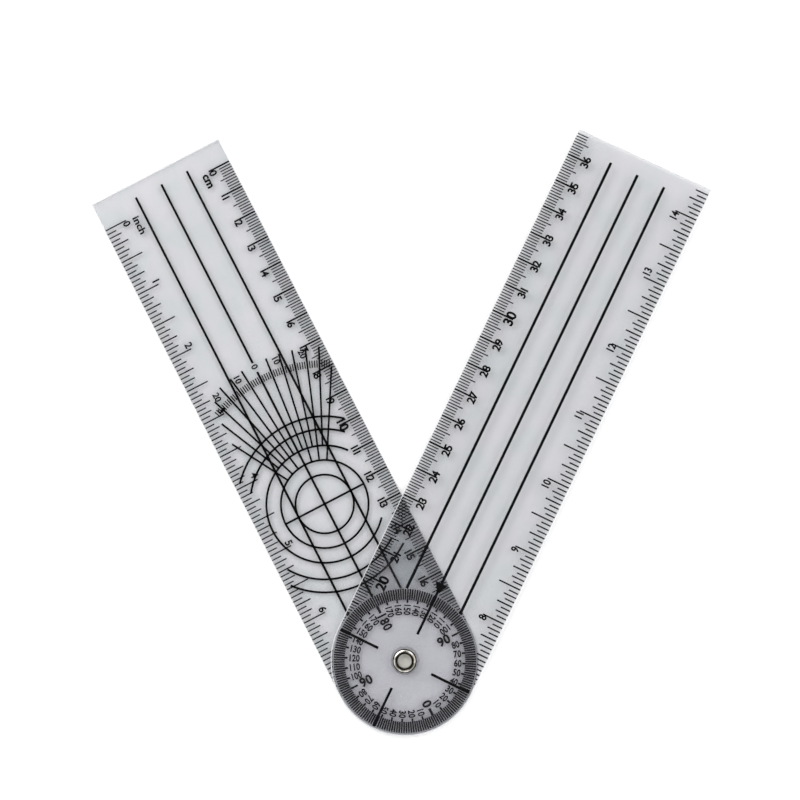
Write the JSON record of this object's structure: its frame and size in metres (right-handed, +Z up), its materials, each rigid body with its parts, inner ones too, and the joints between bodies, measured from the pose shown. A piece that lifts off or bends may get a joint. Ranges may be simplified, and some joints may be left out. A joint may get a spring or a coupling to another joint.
{
  "type": "two-arm goniometer",
  "caption": "Flat clear plastic goniometer: a protractor arm and a pointer arm, both printed with ruler scales, turning about a hollow metal eyelet.",
  "frame": {"origin": "centre of the bounding box on the plane that the lower arm lies on", "axes": "+Z up through the pivot axis, +Y from the pivot along the line halfway between the open arms, +X to the pointer arm's side"},
  "size_m": [0.2144, 0.2058, 0.0033],
  "materials": {
    "clear_pvc": "clear, slightly grey PVC sheet with a soft gloss",
    "nickel": "nickel-plated, polished and rolled",
    "black_ink": "black screen print"
  },
  "bodies": {
    "protractor_side": {"protractor_arm": "clear_pvc", "pivot_eyelet": "nickel", "eyelet_washer": "nickel", "dial_degree_print": "black_ink", "circle_and_angle_gauge_print": "black_ink", "middle_guide_line_print": "black_ink", "protractor_arm_cm_print": "black_ink", "protractor_arm_inch_print": "black_ink"},
    "pointer_side": {"pointer_arm": "clear_pvc", "index_line_and_arrow_print": "black_ink", "cross_line_right_print": "black_ink", "cross_line_tail_print": "black_ink", "cross_line_left_print": "black_ink", "left_guide_line_print": "black_ink", "right_guide_line_print": "black_ink", "pointer_arm_cm_print": "black_ink", "pointer_arm_inch_print": "black_ink"}
  },
  "joints": [
    {"name": "pivot", "type": "hinge", "parent": "protractor_side", "child": "pointer_side", "pos_m": [0, -0.07794, 0], "axis": [0, 0, 1], "continuous": true}
  ]
}
